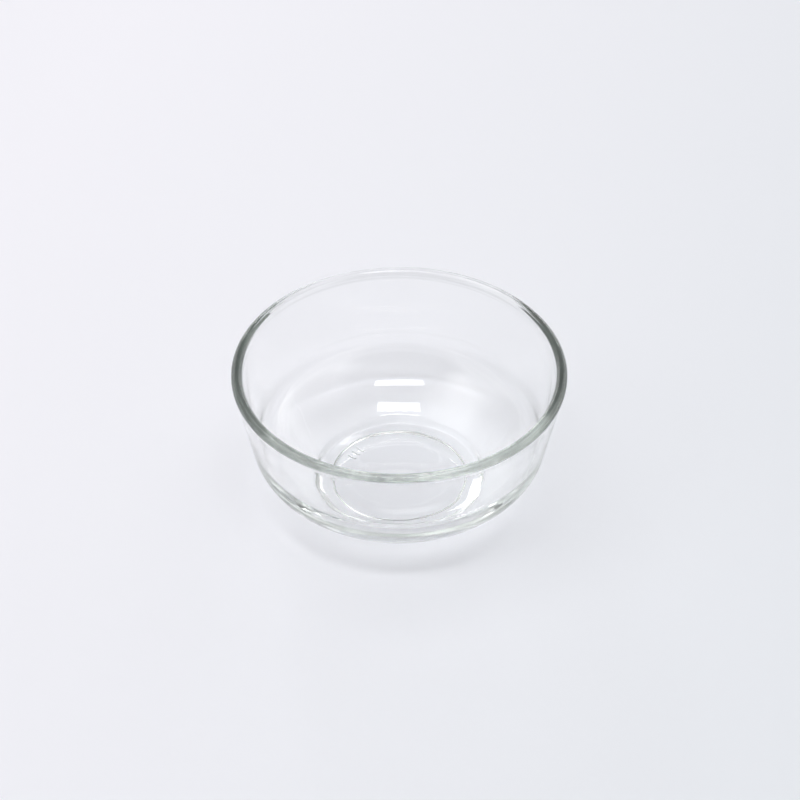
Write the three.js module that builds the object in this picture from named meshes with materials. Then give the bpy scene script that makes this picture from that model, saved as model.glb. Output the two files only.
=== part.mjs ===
// A clear pressed-glass bowl: one piece of glass, turned about +Z.
// Millimetres, +Z up. The origin is the centre of the ring that the bowl stands on.
import * as THREE from "three";

// Driving dimensions
const RIM_RADIUS = 55; // outside of the rim, at its widest
const HEIGHT = 49.8; // table to the top of the rim
const RIM_THICKNESS = 3.7; // the fire-polished rim is a round bead, a little thicker than the wall
const WALL_THICKNESS = 3.2; // straight upper wall
const WALL_LEAN = THREE.MathUtils.degToRad(12); // upper wall, outwards from the vertical
const OUTER_WALL_START = 21.2; // height at which the heel's curve becomes the straight wall, outside
const INNER_WALL_START = 25.6; // and inside
const RIM_BLEND_RADIUS = 2.5; // hollow fillet between the bead and the wall, on both sides
const FOOT_RADIUS = 29.5; // where the foot ring's outer flank meets the heel
const FOOT_WIDTH = 7; // from there to where its inner flank meets the recess
const OUTER_FLANK_WIDTH = 2.4; // how far the outer flank leans
const FLANK_END_SLOPE = THREE.MathUtils.degToRad(40); // the outer flank where it meets the heel, from level
const INNER_FLANK_WIDTH = 0.9; // how far the inner flank leans
const FOOT_DROP = 2.156; // the ring stands this far below the heel's lower edge
const HEEL_START_SLOPE = THREE.MathUtils.degToRad(24.19); // the heel at the foot ring, from level
const HEEL_BALANCE = 0.3822; // wall end's share of the heel's curve over the foot end's
const RECESS_DEPTH = 1.3; // the underside inside the ring is pushed up by this much
const BASE_THICKNESS = 3.9; // glass between the recess and the middle of the inside floor
const FLOOR_RADIUS = 12.4; // level middle of the inside floor
const INSIDE_BALANCE = 1.54; // floor end's share of the inside curve over the wall end's

// Facets
const ROUND_SEGMENTS = 64; // round the axis
const ARC_STEP = THREE.MathUtils.degToRad(7); // along an arc of the profile
const FLANK_STEPS = 6; // along the foot ring's outer flank

const GLASS = new THREE.MeshStandardMaterial({
  name: "clear_glass",
  color: 0xe6efec,
  roughness: 0.02,
  metalness: 0,
  transparent: true,
  opacity: 0.35,
});

const at = (r, z) => new THREE.Vector2(r, z);

// Points of an arc about a centre, from one angle to another, both ends included.
function arc(centre, radius, fromAngle, toAngle) {
  const steps = Math.max(1, Math.ceil(Math.abs(toAngle - fromAngle) / ARC_STEP));
  return Array.from({ length: steps + 1 }, (_, i) => {
    const angle = fromAngle + ((toAngle - fromAngle) * i) / steps;
    return at(centre.x + radius * Math.cos(angle), centre.y + radius * Math.sin(angle));
  });
}

// Points of the arc that leaves a point along a unit tangent and ends at another point.
function tangentArc(start, tangent, end) {
  const chord = end.clone().sub(start);
  const normal = at(-tangent.y, tangent.x);
  const radius = chord.lengthSq() / (2 * chord.dot(normal)); // signed: positive turns left
  const centre = start.clone().addScaledVector(normal, radius);
  const fromAngle = Math.atan2(start.y - centre.y, start.x - centre.x);
  const turn = 2 * Math.atan2(chord.dot(normal), chord.dot(tangent));
  return arc(centre, Math.abs(radius), fromAngle, fromAngle + turn);
}

// Two arcs that meet smoothly, from a point along a unit tangent to a point along another.
// The balance is how much longer the end's handle is than the start's.
function biarc(start, startTangent, end, endTangent, balance) {
  const chord = end.clone().sub(start);
  const tangents = startTangent.clone().addScaledVector(endTangent, balance);
  const a = 2 * balance * (1 - startTangent.dot(endTangent));
  const b = chord.dot(tangents);
  const reach = (Math.sqrt(b * b + a * chord.lengthSq()) - b) / a;
  const startHandle = start.clone().addScaledVector(startTangent, reach);
  const endHandle = end.clone().addScaledVector(endTangent, -balance * reach);
  const joint = startHandle.lerp(endHandle, 1 / (1 + balance));
  const first = tangentArc(start, startTangent, joint);
  const second = tangentArc(end, endTangent.clone().negate(), joint).reverse();
  return [...first, ...second.slice(1)];
}

// The foot ring's outer flank: a cubic that leaves the ring level and meets the heel in a shallow hollow corner.
function outerFlank() {
  const runOut = OUTER_FLANK_WIDTH * Math.tan(FLANK_END_SLOPE);
  return Array.from({ length: FLANK_STEPS + 1 }, (_, i) => {
    const t = i / FLANK_STEPS;
    const rise = FOOT_DROP * (3 - 2 * t) * t * t + runOut * (t - 1) * t * t;
    return at(FOOT_RADIUS - OUTER_FLANK_WIDTH * (1 - t), rise);
  });
}

// Where a hollow fillet of the rim has its centre: it lies outside the glass and touches
// both a wall's straight line and the bead, below the bead.
function rimFillet(wallPoint, wallNormal, wallUp, bead, beadRadius) {
  const line = wallPoint.clone().addScaledVector(wallNormal, RIM_BLEND_RADIUS);
  const toBead = bead.clone().sub(line);
  const along = toBead.dot(wallUp);
  const across = toBead.lengthSq() - along * along;
  const gap = Math.sqrt((beadRadius + RIM_BLEND_RADIUS) ** 2 - across);
  return line.addScaledVector(wallUp, along - gap);
}

// The bowl's half section, once round: up the outside, over the rim and down the inside.
function bowlProfile() {
  const wallUp = at(Math.sin(WALL_LEAN), Math.cos(WALL_LEAN));
  const wallOut = at(Math.cos(WALL_LEAN), -Math.sin(WALL_LEAN));
  const wallIn = wallOut.clone().negate();

  // The bead stands astride the wall's middle line, and the wall hangs from it.
  const beadRadius = RIM_THICKNESS / 2;
  const bead = at(RIM_RADIUS - beadRadius, HEIGHT - beadRadius);
  const wallPoint = (height, side) => {
    const drop = (bead.y - height) / wallUp.y;
    return bead.clone().addScaledVector(wallUp, -drop).addScaledVector(side, WALL_THICKNESS / 2);
  };
  const outerStart = wallPoint(OUTER_WALL_START, wallOut);
  const innerStart = wallPoint(INNER_WALL_START, wallIn);

  // Underside: recess, and the foot ring between its two flanks
  const footInner = FOOT_RADIUS - FOOT_WIDTH;
  const underside = [
    at(0, RECESS_DEPTH),
    at(footInner, RECESS_DEPTH),
    at(footInner + INNER_FLANK_WIDTH, 0),
    ...outerFlank(),
  ];

  // Heel: from the foot ring round to the straight outer wall
  const heelStart = at(FOOT_RADIUS, FOOT_DROP);
  const heelTangent = at(Math.cos(HEEL_START_SLOPE), Math.sin(HEEL_START_SLOPE));
  const heel = biarc(heelStart, heelTangent, outerStart, wallUp, HEEL_BALANCE);

  // Rim: hollow fillet, bead and hollow fillet
  const outerFillet = rimFillet(outerStart, wallOut, wallUp, bead, beadRadius);
  const innerFillet = rimFillet(innerStart, wallIn, wallUp, bead, beadRadius);
  const angleTo = (from, to) => Math.atan2(to.y - from.y, to.x - from.x);
  const beadFrom = angleTo(bead, outerFillet);
  const beadTo = angleTo(bead, innerFillet) + 2 * Math.PI;
  const rim = [
    ...arc(outerFillet, RIM_BLEND_RADIUS, Math.PI - WALL_LEAN, beadFrom + Math.PI),
    ...arc(bead, beadRadius, beadFrom, 0),
    ...arc(bead, beadRadius, 0, Math.PI / 2),
    ...arc(bead, beadRadius, Math.PI / 2, beadTo),
    ...arc(innerFillet, RIM_BLEND_RADIUS, beadTo - Math.PI, -WALL_LEAN),
  ];

  // Inside: the straight wall runs down into a curve that ends level on the floor
  const floorEdge = at(FLOOR_RADIUS, RECESS_DEPTH + BASE_THICKNESS);
  const wallDown = wallUp.clone().negate();
  const inside = biarc(innerStart, wallDown, floorEdge, at(-1, 0), INSIDE_BALANCE);

  return [...underside, ...heel, ...rim, ...inside, at(0, floorEdge.y)];
}

// Neighbouring stretches share their end points, and a lathe needs each once.
function withoutRepeats(points) {
  const LEAST_STEP = 1e-4;
  return points.filter((p, i) => i === 0 || p.distanceTo(points[i - 1]) > LEAST_STEP);
}

function makeBowl() {
  const profile = withoutRepeats(bowlProfile());
  const geometry = new THREE.LatheGeometry(profile, ROUND_SEGMENTS);
  geometry.rotateX(Math.PI / 2); // a lathe turns about +Y, and the bowl stands along +Z
  const mesh = new THREE.Mesh(geometry, GLASS);
  mesh.name = "bowl";
  return mesh;
}

const bowl = new THREE.Group();
bowl.name = "glass_bowl";
bowl.add(makeBowl());

export default bowl;
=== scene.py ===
"""A small clear pressed-glass bowl on a pale ground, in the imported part's frame. Metres, +Z up."""

import math

import bpy
import numpy as np
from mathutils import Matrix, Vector


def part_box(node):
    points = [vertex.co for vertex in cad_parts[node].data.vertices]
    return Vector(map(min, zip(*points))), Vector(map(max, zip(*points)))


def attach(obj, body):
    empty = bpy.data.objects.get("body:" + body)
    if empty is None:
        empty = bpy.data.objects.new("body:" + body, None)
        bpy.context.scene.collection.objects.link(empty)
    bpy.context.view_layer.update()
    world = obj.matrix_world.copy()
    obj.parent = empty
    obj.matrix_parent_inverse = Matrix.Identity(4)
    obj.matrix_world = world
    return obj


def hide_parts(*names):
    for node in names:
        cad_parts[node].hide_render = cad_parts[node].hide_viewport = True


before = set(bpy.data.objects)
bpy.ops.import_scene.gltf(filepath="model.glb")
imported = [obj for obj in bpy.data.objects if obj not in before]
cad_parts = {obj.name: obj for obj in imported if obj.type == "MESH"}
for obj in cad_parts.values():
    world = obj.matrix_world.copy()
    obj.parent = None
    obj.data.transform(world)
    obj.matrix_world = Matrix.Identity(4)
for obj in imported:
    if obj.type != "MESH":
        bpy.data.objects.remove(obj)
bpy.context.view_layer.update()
BOWL_LOW, BOWL_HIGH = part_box("bowl")

# Rim and wall
RIM_RADIUS = (BOWL_HIGH.x - BOWL_LOW.x) / 2
HEIGHT = BOWL_HIGH.z - BOWL_LOW.z
RIM_THICKNESS = 0.0037  # a round bead, a little thicker than the wall
RIM_BLEND_RADIUS = 0.0025  # hollow fillet between the bead and the wall, on both sides
WALL_THICKNESS = 0.0032
WALL_LEAN = math.radians(12)  # outwards from the vertical
OUTER_WALL_START = 0.0212  # height at which the heel's curve becomes the straight wall, outside
INNER_WALL_START = 0.0256  # and inside

# Heel, foot ring, recess and floor
FOOT_RADIUS = 0.0295  # where the foot ring's outer flank meets the heel
FOOT_DROP = 0.002156  # the ring stands this far below the heel's lower edge
OUTER_FLANK_WIDTH = 0.0024  # how far the outer flank leans
FLANK_END_SLOPE = math.radians(40)  # the outer flank where it meets the heel, from level
HEEL_START_SLOPE = math.radians(24.19)  # the heel at the foot ring, from level
HEEL_BALANCE = 0.3822  # wall end's share of the heel's curve over the foot end's
RECESS_RADIUS = 0.0225
RECESS_DEPTH = 0.0013
INNER_FLANK_WIDTH = 0.0009  # how far the inner flank leans
BASE_THICKNESS = 0.0039  # glass between the recess and the middle of the inside floor
FLOOR_RADIUS = 0.0124  # level middle of the inside floor
INSIDE_BALANCE = 1.54  # floor end's share of the inside curve over the wall end's

# Three plain raised bars in the recess
BAR_BEARING = math.radians(143)
BAR_RADIUS = 0.0186
BAR_SPACING = 0.0024
BAR_WIDTH = 0.0011
BAR_LENGTH = 0.0034
BAR_HEIGHT = 0.00025
BAR_EDGE = 0.0003

# Low waves left by the pressing: waves round the bowl, waves per metre along the section, height, start
BODY_WAVES = (
    (5, 38, 6e-6, 0.4),
    (9, -61, 4e-6, 2.1),
    (2, 104, 4e-6, 4.0),
    (17, 23, 2.5e-6, 1.2),
)
RIM_WAVES = (
    (6, 610, 1.6e-6, 0.9),
    (11, -830, 1.0e-6, 2.6),
)
WAVES_FADE_HEIGHTS = (0.0006, 0.003)  # from none at the foot ring to full
WAVES_FADE_RADII = (0.002, 0.012)  # from none at the axis to full
RIM_FADE_HEIGHTS = (HEIGHT - 0.005, HEIGHT - 0.0025)  # from none below the rim to full, streaks too

# Points along the stretches of the section, and round the bowl
RECESS_POINTS = (7, 24, 5)  # before, over and beyond the bars
FLANK_POINTS = 17
RING_POINTS = 5
HEEL_POINTS = 20  # on each of its two arcs
WALL_POINTS = 18
BLEND_POINTS = 8
BEAD_POINTS = (12, 14, 20)  # up to the widest place, to the top and down inside
INSIDE_POINTS = 26  # on each of its two arcs
FLOOR_POINTS = 8
LEAST_STEP = 1e-7  # points closer than this are one point
ROUND_SEGMENTS = 264
BAR_SEGMENTS = 64
FACING_DOWN = -0.99  # a normal with a lower upward part than this is on the level underside

# Glass: its body, its uneven skin and the fine streaks along its rim, raised and painted a darker grey as
# painted shade; fineness is in waves per metre
REFRACTIVE_INDEX = 1.48
BODY_COLOUR = (0.63, 0.677, 0.65, 1)
BODY_DENSITY = 11.0  # per metre
CLEAR = (1, 1, 1, 1)
SKIN_FINENESS = 130
SKIN_DETAIL = 2.0
SKIN_HEIGHT = 1e-5
STREAK_FINENESS = 1500
STREAK_TURN_FINENESS = 15
STREAK_DETAIL = 1.0
STREAK_EDGES = (0.42, 0.62)  # noise from which a streak begins and at which it is full
STREAK_HEIGHT = 4e-5
# painted shade: the grey of the rim's streaks stands in for dark lines refracted in the rim
STREAK_PAINTED_SHADE = (0.86, 0.868, 0.864, 1)

# Light, as the white that it shows; spots are azimuth, elevation, core angle, edge angle and added light
TENT_LIGHT = 1.46
TENT_SPOTS = (
    (-3, 38, 32, 50, -1.35),
    (180, 42, 12, 30, -1.35),
    (180, 70, 4, 18, -0.6),
    (-118, 28, 10, 30, -1.0),
    (-75, 58, 8, 26, 0.9),
    (85, 46, 14, 36, -1.0),
    (180, 6, 6, 20, -0.9),
    (-178, 24, 2, 6, 1.6),
    (107, 2, 8, 20, 0.9),
    (-57, 44, 2, 12, 0.8),
    (43, 32, 2, 14, 0.6),
)
DARKEST = 0.04
LIGHT_BOUNCES = 96

# Soft boxes: azimuth, elevation, distance, width, height, roll, and light as the white that they show
SOFT_BOXES = {
    "front_strip": (0, 77, 1.2, 0.53, 0.153, 0, 9.0),
    "back_left_strip": (-166, 18, 1.3, 0.09, 0.60, -23, 9.5),
    "back_right_strip": (162, 26, 1.3, 0.03, 0.26, 23, 9.0),
}

# Ground, with a painted light falloff: its colours at the back left, painted lit, and at the front right,
# painted in shade, and the share of the second under the bowl with its growth per metre to the right and to
# the back
GROUND_PAINTED_LIT = (0.896, 0.888, 0.939, 1)
GROUND_PAINTED_SHADE_COLOUR = (0.775, 0.799, 0.838, 1)
GROUND_PAINTED_SHADE_SHARE = 0.5
GROUND_PAINTED_SHADE_GROWTH = (2.48, -0.77, 0)
GROUND_ROUGHNESS = 0.9
GROUND_RADIUS = 3.0
GROUND_SIDES = 96
GROUND_DROP = 0.0001  # below the foot ring

# The photograph's camera
CAMERA_DISTANCE = 0.9932
CAMERA_ELEVATION = 40.08  # degrees
AIM_DROP = 0.01391  # below the top of the rim
AIM_SIDE = 0.00026
FRAME_PIXELS = 800
FOCAL_PIXELS = 3012.7
SENSOR_WIDTH = 36.0

# Places of a colour mixer's two colours and of its result
MIX_FIRST, MIX_SECOND, MIX_RESULT = 6, 7, 2


def arc(centre, radius, from_angle, to_angle, count):
    """Points on a circle about a centre, evenly from one angle to another."""
    angle = np.linspace(from_angle, to_angle, count)
    return centre + radius * np.stack([np.cos(angle), np.sin(angle)], axis=1)


def tangent_arc(start, tangent, end, count):
    """Points on the one circle that leaves start along a unit tangent and passes through end."""
    chord = end - start
    normal = np.array([-tangent[1], tangent[0]])
    radius = chord @ chord / (2 * (chord @ normal))
    centre = start + normal * radius
    from_angle = math.atan2(start[1] - centre[1], start[0] - centre[0])
    turn = 2 * math.atan2(chord @ normal, chord @ tangent)
    return arc(centre, abs(radius), from_angle, from_angle + turn, count)


def biarc(start, start_tangent, end, end_tangent, balance, count):
    """Two circles that meet smoothly, from start along a unit tangent to end along another.

    The balance is the length of the end's handle over that of the start's.
    """
    chord = end - start
    a = 2 * balance * (1 - start_tangent @ end_tangent)
    b = chord @ (start_tangent + balance * end_tangent)
    reach = (math.sqrt(b * b + a * (chord @ chord)) - b) / a
    start_handle = start + start_tangent * reach
    end_handle = end - end_tangent * balance * reach
    joint = (balance * start_handle + end_handle) / (1 + balance)
    first = tangent_arc(start, start_tangent, joint, count)
    second = tangent_arc(end, -end_tangent, joint, count)[::-1]
    return np.concatenate([first, second[1:]])


def straight(start, end, count):
    """Points evenly along a line."""
    return start + np.linspace(0, 1, count)[:, None] * (np.asarray(end) - start)


def rim_fillet_centre(wall_point, wall_normal, wall_up, bead, bead_radius):
    """Centre of the hollow fillet that touches a wall's straight line and the rim's bead."""
    line = wall_point + wall_normal * RIM_BLEND_RADIUS
    to_bead = bead - line
    along = to_bead @ wall_up
    across = to_bead @ to_bead - along * along
    gap = math.sqrt((bead_radius + RIM_BLEND_RADIUS) ** 2 - across)
    return line + wall_up * (along - gap)


def angle_to(start, end):
    """Direction from one point to another, as an angle."""
    return math.atan2(end[1] - start[1], end[0] - start[0])


def underside_section():
    """Middle of the recess to the heel: a flat, a cosine step down to the foot ring, the ring's flat,
    and a cubic that leaves the flat level and meets the heel at a steeper slope than the heel's."""
    bars_from = BAR_RADIUS - BAR_LENGTH / 2 - BAR_EDGE
    bars_to = BAR_RADIUS + BAR_LENGTH / 2 + BAR_EDGE
    before, over, beyond = RECESS_POINTS
    recess = np.array([
        *np.linspace(0, bars_from, before),
        *np.linspace(bars_from, bars_to, over),
        *np.linspace(bars_to, RECESS_RADIUS, beyond),
    ])
    recess = np.stack([recess, np.full(len(recess), RECESS_DEPTH)], axis=1)
    t = np.linspace(0, 1, FLANK_POINTS)
    fall = (1 + np.cos(np.pi * t)) / 2
    inner_flank = np.stack([RECESS_RADIUS + INNER_FLANK_WIDTH * t, RECESS_DEPTH * fall], axis=1)
    run_out = OUTER_FLANK_WIDTH * math.tan(FLANK_END_SLOPE)
    rise = FOOT_DROP * (3 * t**2 - 2 * t**3) + run_out * (t**3 - t**2)
    outer_flank = np.stack([FOOT_RADIUS - OUTER_FLANK_WIDTH * (1 - t), rise], axis=1)
    ring = straight(inner_flank[-1], outer_flank[0], RING_POINTS)
    return np.concatenate([recess, inner_flank, ring, outer_flank])


def bowl_section():
    """The bowl's half section (radius, height), from the middle of the underside to that of the floor.

    Underside, two-arc heel, straight wall, bead between two hollow fillets, straight wall and two-arc
    inside down to the flat floor.
    """
    up = np.array([math.sin(WALL_LEAN), math.cos(WALL_LEAN)])
    out = np.array([math.cos(WALL_LEAN), -math.sin(WALL_LEAN)])
    bead_radius = RIM_THICKNESS / 2
    bead = np.array([RIM_RADIUS - bead_radius, HEIGHT - bead_radius])
    outer_start = bead - up * (bead[1] - OUTER_WALL_START) / up[1] + out * WALL_THICKNESS / 2
    inner_start = bead - up * (bead[1] - INNER_WALL_START) / up[1] - out * WALL_THICKNESS / 2

    heel_start = np.array([FOOT_RADIUS, FOOT_DROP])
    heel_tangent = np.array([math.cos(HEEL_START_SLOPE), math.sin(HEEL_START_SLOPE)])
    heel = biarc(heel_start, heel_tangent, outer_start, up, HEEL_BALANCE, HEEL_POINTS)

    outer_fillet = rim_fillet_centre(outer_start, out, up, bead, bead_radius)
    inner_fillet = rim_fillet_centre(inner_start, -out, up, bead, bead_radius)
    bead_from = angle_to(bead, outer_fillet)
    bead_to = angle_to(bead, inner_fillet) + 2 * math.pi
    blend_out = arc(outer_fillet, RIM_BLEND_RADIUS, math.pi - WALL_LEAN, bead_from + math.pi, BLEND_POINTS)
    blend_in = arc(inner_fillet, RIM_BLEND_RADIUS, bead_to - math.pi, -WALL_LEAN, BLEND_POINTS)
    outer_wall = straight(outer_start, blend_out[0], WALL_POINTS)
    to_widest, to_top, to_inside = BEAD_POINTS
    round_rim = np.concatenate([
        arc(bead, bead_radius, bead_from, 0, to_widest),
        arc(bead, bead_radius, 0, math.pi / 2, to_top),
        arc(bead, bead_radius, math.pi / 2, bead_to, to_inside),
    ])
    inner_wall = straight(blend_in[-1], inner_start, WALL_POINTS)

    floor_edge = np.array([FLOOR_RADIUS, RECESS_DEPTH + BASE_THICKNESS])
    inwards = np.array([-1.0, 0.0])
    inside = biarc(inner_start, -up, floor_edge, inwards, INSIDE_BALANCE, INSIDE_POINTS)
    floor = straight(floor_edge, [0, floor_edge[1]], FLOOR_POINTS)

    section = np.concatenate([
        underside_section(), heel, outer_wall, blend_out, round_rim, blend_in, inner_wall, inside, floor,
    ])
    steps = np.linalg.norm(np.diff(section, axis=0), axis=1)
    return section[np.concatenate([[True], steps > LEAST_STEP])]


def smooth_step(value, start, end):
    """0 before start, 1 after end, and an S-curve between."""
    t = np.clip((value - start) / (end - start), 0, 1)
    return t * t * (3 - 2 * t)


def waves(wave_list, along, angle):
    """Sum of slanting sine waves over the distance along the section and the angle round the bowl.

    Each runs from minus twice its height to 0.
    """
    total = np.zeros(np.broadcast_shapes(along.shape, angle.shape))
    for turns, per_metre, height, start in wave_list:
        total += height * (np.sin(turns * angle + 2 * math.pi * per_metre * along + start) - 1)
    return total


def bar_relief(radius, angle):
    """Height of three soft-edged bars that lie along the radius, side by side about one bearing."""
    across = radius * (angle - BAR_BEARING)
    deep = np.abs(radius - BAR_RADIUS)
    nearest = across - BAR_SPACING * np.clip(np.round(across / BAR_SPACING), -1, 1)
    inside = 1 - smooth_step(np.abs(nearest), BAR_WIDTH / 2 - BAR_EDGE, BAR_WIDTH / 2)
    return BAR_HEIGHT * inside * (1 - smooth_step(deep, BAR_LENGTH / 2 - BAR_EDGE, BAR_LENGTH / 2))


def bowl_mesh(name):
    """The section carried once round +Z, pushed in along its normal by the waves, with the bars added.

    A closed mesh with a point at each pole; the angles lie closer together over the bars. The waves fade
    out at the foot ring, where the bowl stands, and at the poles.
    """
    section = bowl_section()
    rings = section[1:-1]
    spread = 2 * BAR_SPACING / BAR_RADIUS
    angle = np.unique(np.concatenate([
        np.arange(ROUND_SEGMENTS) * (2 * math.pi / ROUND_SEGMENTS),
        np.linspace(BAR_BEARING - spread, BAR_BEARING + spread, BAR_SEGMENTS),
    ]))
    count = len(angle)

    radius, height = rings[:, :1], rings[:, 1:]
    tangent = section[2:] - section[:-2]
    tangent = tangent / np.linalg.norm(tangent, axis=1)[:, None]
    normal = np.stack([tangent[:, 1], -tangent[:, 0]], axis=1)
    along = np.cumsum(np.linalg.norm(np.diff(section[:-1], axis=0), axis=1))[:, None]
    fade = smooth_step(height, *WAVES_FADE_HEIGHTS) * smooth_step(radius, *WAVES_FADE_RADII)
    near_rim = smooth_step(height, *RIM_FADE_HEIGHTS)
    push = fade * (waves(BODY_WAVES, along, angle) + near_rim * waves(RIM_WAVES, along, angle))
    under = normal[:, 1:] < FACING_DOWN
    push = push + under * bar_relief(radius, angle)

    radius = radius + push * normal[:, :1]
    height = height + push * normal[:, 1:]
    points = np.stack([radius * np.cos(angle), radius * np.sin(angle), height], axis=2).reshape(-1, 3)
    poles = np.array([[0, 0, section[0, 1]], [0, 0, section[-1, 1]]])
    vertices = np.concatenate([points, poles])

    i = np.arange(len(rings) - 1)[:, None] * count
    j = np.arange(count)
    k = (j + 1) % count
    quads = np.stack([i + j, i + k, i + count + k, i + count + j], axis=2).reshape(-1, 4)
    last = (len(rings) - 1) * count
    under_pole = np.stack([np.full(count, len(points)), k, j], axis=1)
    floor_pole = np.stack([np.full(count, len(points) + 1), last + j, last + k], axis=1)

    mesh = bpy.data.meshes.new(name)
    mesh.from_pydata(vertices.tolist(), [], quads.tolist() + under_pole.tolist() + floor_pole.tolist())
    mesh.shade_smooth()
    return mesh


def add_object(name, data):
    """Puts a mesh, lamp or camera into the scene, at the origin."""
    made = bpy.data.objects.new(name, data)
    bpy.context.scene.collection.objects.link(made)
    return made


class Value:
    """A shader socket in Python expressions: each operator adds a Math node to the socket's tree."""

    def __init__(self, tree, socket=None):
        self.tree = tree
        self.socket = socket

    def node(self, kind, settings=None, inputs=None, output=0):
        """Adds a node of any kind: its settings first, then the numbers or links of its sockets."""
        made = self.tree.nodes.new(kind)
        for name, setting in (settings or {}).items():
            setattr(made, name, setting)
        for name, value in (inputs or {}).items():
            if isinstance(value, Value):
                self.tree.links.new(value.socket, made.inputs[name])
            else:
                made.inputs[name].default_value = value
        return Value(self.tree, made.outputs[output])

    def into(self, socket):
        """Links this value to a socket of a node that already stands in the tree."""
        self.tree.links.new(self.socket, socket)

    def math(self, operation, first, second):
        return self.node("ShaderNodeMath", {"operation": operation}, {0: first, 1: second})

    def __add__(self, other):
        return self.math("ADD", self, other)

    def __radd__(self, other):
        return self.math("ADD", other, self)

    def __mul__(self, other):
        return self.math("MULTIPLY", self, other)

    def __rmul__(self, other):
        return self.math("MULTIPLY", other, self)

    def at_least(self, other):
        return self.math("MAXIMUM", self, other)

    def vector_math(self, operation, second, output):
        """A vector taken together with a fixed one."""
        inputs = {0: self, 1: tuple(second)}
        return self.node("ShaderNodeVectorMath", {"operation": operation}, inputs, output)

    def toward(self, vector):
        """How far a vector points along a fixed one: their dot product."""
        return self.vector_math("DOT_PRODUCT", vector, "Value")

    def smooth_step(self, start, end):
        """0 before start, 1 after end, and an S-curve between."""
        inputs = {"Value": self, "From Min": start, "From Max": end}
        return self.node("ShaderNodeMapRange", {"interpolation_type": "SMOOTHSTEP"}, inputs)

    def between(self, first, second):
        """The colour that lies this share of the way from one colour to another."""
        inputs = {"Factor": self, MIX_FIRST: first, MIX_SECOND: second}
        return self.node("ShaderNodeMix", {"data_type": "RGBA"}, inputs, MIX_RESULT)


def rim_streaks(place):
    """Fine lines along the rim, 0 below it: noise in (radius, height) that changes slowly round the bowl,
    sharpened by an S-curve. They raise the rim's relief and mask its painted shade."""
    flat = place.vector_math("MULTIPLY", (1, 1, 0), "Vector")
    radius = flat.node("ShaderNodeVectorMath", {"operation": "LENGTH"}, {0: flat}, "Value")
    height = place.toward((0, 0, 1))
    across = place.node("ShaderNodeCombineXYZ", {}, {
        "X": STREAK_FINENESS * radius,
        "Y": STREAK_FINENESS * height,
        "Z": STREAK_TURN_FINENESS * place.toward((1, 0, 0)),
    })
    lines = across.node("ShaderNodeTexNoise", {"noise_dimensions": "4D"}, {
        "Vector": across,
        "W": STREAK_TURN_FINENESS * place.toward((0, 1, 0)),
        "Scale": 1.0,
        "Detail": STREAK_DETAIL,
    })
    return lines.smooth_step(*STREAK_EDGES) * height.smooth_step(*RIM_FADE_HEIGHTS)


def glass_material():
    """Clear glass with a faint grey-green body colour, an uneven skin and raised streaks along the rim,
    painted darker grey as painted shade.
    """
    material = bpy.data.materials.new("clear_glass")
    material.use_nodes = True
    tree = material.node_tree
    shader = tree.nodes["Principled BSDF"]
    shader.inputs["Roughness"].default_value = 0.0
    shader.inputs["IOR"].default_value = REFRACTIVE_INDEX
    shader.inputs["Transmission Weight"].default_value = 1.0
    place = Value(tree).node("ShaderNodeTexCoord", output="Object")
    skin_inputs = {"Vector": place, "Scale": SKIN_FINENESS, "Detail": SKIN_DETAIL}
    skin = place.node("ShaderNodeTexNoise", {}, skin_inputs)
    streaks = rim_streaks(place)
    # painted shade: the streaks darken the rim's colour towards the streak grey
    streaks.between(CLEAR, STREAK_PAINTED_SHADE).into(shader.inputs["Base Color"])
    relief = SKIN_HEIGHT * skin + STREAK_HEIGHT * streaks
    uneven = relief.node("ShaderNodeBump", {}, {"Strength": 1.0, "Distance": 1.0, "Height": relief})
    uneven.into(shader.inputs["Normal"])
    body_inputs = {"Color": BODY_COLOUR, "Density": BODY_DENSITY}
    body = place.node("ShaderNodeVolumeAbsorption", {}, body_inputs)
    body.into(tree.nodes["Material Output"].inputs["Volume"])
    return material


def ground_material():
    """Pale matt ground with a painted light falloff: painted lighter at the back left and painted shade
    towards the front right.
    """
    material = bpy.data.materials.new("pale_ground")
    material.use_nodes = True
    tree = material.node_tree
    shader = tree.nodes["Principled BSDF"]
    place = Value(tree).node("ShaderNodeTexCoord", output="Object")
    # painted shade: the ground's colour darkens towards the front right as if lit from the back left
    painted_shade_share = GROUND_PAINTED_SHADE_SHARE + place.toward(GROUND_PAINTED_SHADE_GROWTH)
    painted_shade_share.between(GROUND_PAINTED_LIT, GROUND_PAINTED_SHADE_COLOUR).into(shader.inputs["Base Color"])
    shader.inputs["Roughness"].default_value = GROUND_ROUGHNESS
    shader.inputs["Specular IOR Level"].default_value = 0.0
    return material


def make_ground():
    """A wide flat disc just under the foot ring."""
    angle = np.linspace(0, 2 * math.pi, GROUND_SIDES, endpoint=False)
    level = np.full(GROUND_SIDES, -GROUND_DROP)
    edge = np.stack([GROUND_RADIUS * np.cos(angle), GROUND_RADIUS * np.sin(angle), level], axis=1)
    mesh = bpy.data.meshes.new("ground")
    mesh.from_pydata(edge.tolist(), [], [list(range(GROUND_SIDES))])
    ground = add_object("ground", mesh)
    ground.data.materials.append(ground_material())


def direction(azimuth, elevation):
    """Unit vector from degrees; azimuth 0 is towards the camera, -Y, and positive turns to the right, +X."""
    a, e = math.radians(azimuth), math.radians(elevation)
    return np.array([math.sin(a) * math.cos(e), -math.cos(a) * math.cos(e), math.sin(e)])


def aim(place, target):
    """Euler angles that turn an object's -Z from a place to a target, upright."""
    return (Vector(target) - Vector(place)).to_track_quat("-Z", "Y").to_euler()


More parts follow.
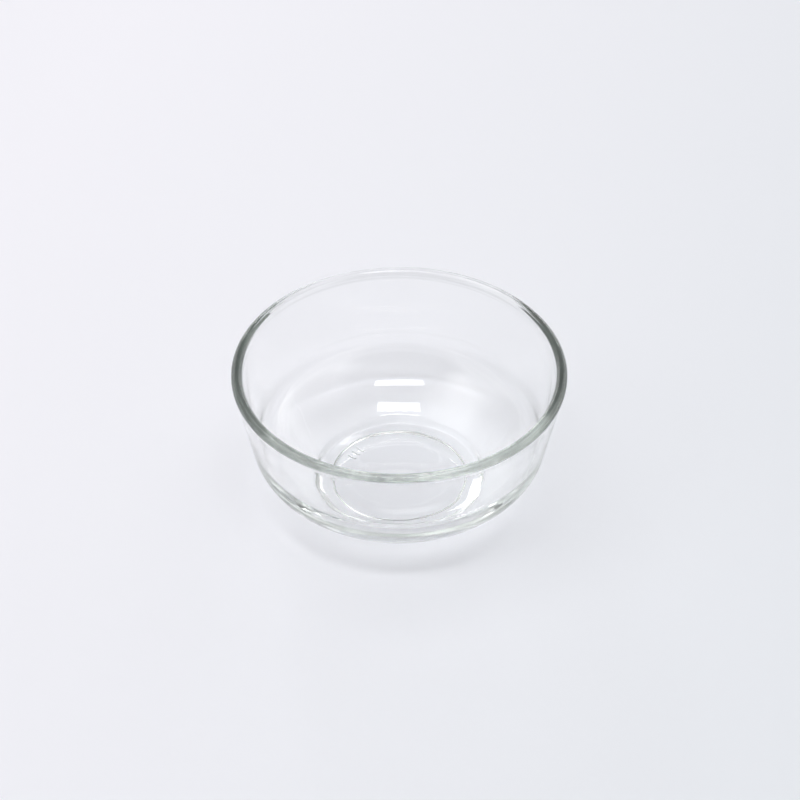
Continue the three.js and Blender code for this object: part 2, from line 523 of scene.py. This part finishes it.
def make_soft_box(name, azimuth, elevation, distance, width, height, roll, white):
    """A rectangular soft box that faces the bowl, rolled about its own line of sight."""
    light = bpy.data.lights.new(name, "AREA")
    light.shape = "RECTANGLE"
    light.size = width
    light.size_y = height
    light.energy = white * math.pi * width * height
    lamp = add_object(name, light)
    lamp.location = direction(azimuth, elevation) * distance
    lamp.rotation_euler = aim(lamp.location, (0, 0, HEIGHT / 2))
    lamp.rotation_euler.rotate_axis("Z", math.radians(roll))
    lamp.visible_camera = False


def make_camera():
    """The photograph's camera, straight in front of the bowl and looking down into it."""
    camera = add_object("camera", bpy.data.cameras.new("camera"))
    target = np.array([AIM_SIDE, 0, HEIGHT - AIM_DROP])
    camera.location = target + direction(0, CAMERA_ELEVATION) * CAMERA_DISTANCE
    camera.rotation_euler = aim(camera.location, target)
    camera.data.sensor_width = SENSOR_WIDTH
    camera.data.lens = SENSOR_WIDTH * FOCAL_PIXELS / FRAME_PIXELS
    bpy.context.scene.camera = camera


def soft_disc(gaze, azimuth, elevation, core, edge):
    """1 within the core angle of a direction, 0 beyond the edge angle, an S-curve of the cosine between."""
    toward = gaze.toward(direction(azimuth, elevation))
    return toward.smooth_step(math.cos(math.radians(edge)), math.cos(math.radians(core)))


def make_world():
    """A white tent with soft brighter and darker spots, darkest in front where the camera looks in."""
    world = bpy.data.worlds.new("white_tent")
    world.use_nodes = True
    tree = world.node_tree
    gaze = Value(tree).node("ShaderNodeTexCoord", output="Generated")
    light = TENT_LIGHT
    for azimuth, elevation, core, edge, added in TENT_SPOTS:
        light = light + added * soft_disc(gaze, azimuth, elevation, core, edge)
    light.at_least(DARKEST).into(tree.nodes["Background"].inputs["Color"])
    bpy.context.scene.world = world


bowl = add_object("glass_bowl", bowl_mesh("glass_bowl"))
bowl.data.materials.append(glass_material())
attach(bowl, "root")
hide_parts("bowl")

make_ground()
make_camera()
make_world()
for name, setting in SOFT_BOXES.items():
    make_soft_box(name, *setting)

scene = bpy.context.scene
scene.view_settings.view_transform = "Standard"
scene.cycles.max_bounces = LIGHT_BOUNCES
scene.cycles.transmission_bounces = LIGHT_BOUNCES
scene.cycles.glossy_bounces = LIGHT_BOUNCES
scene.cycles.blur_glossy = 0.0
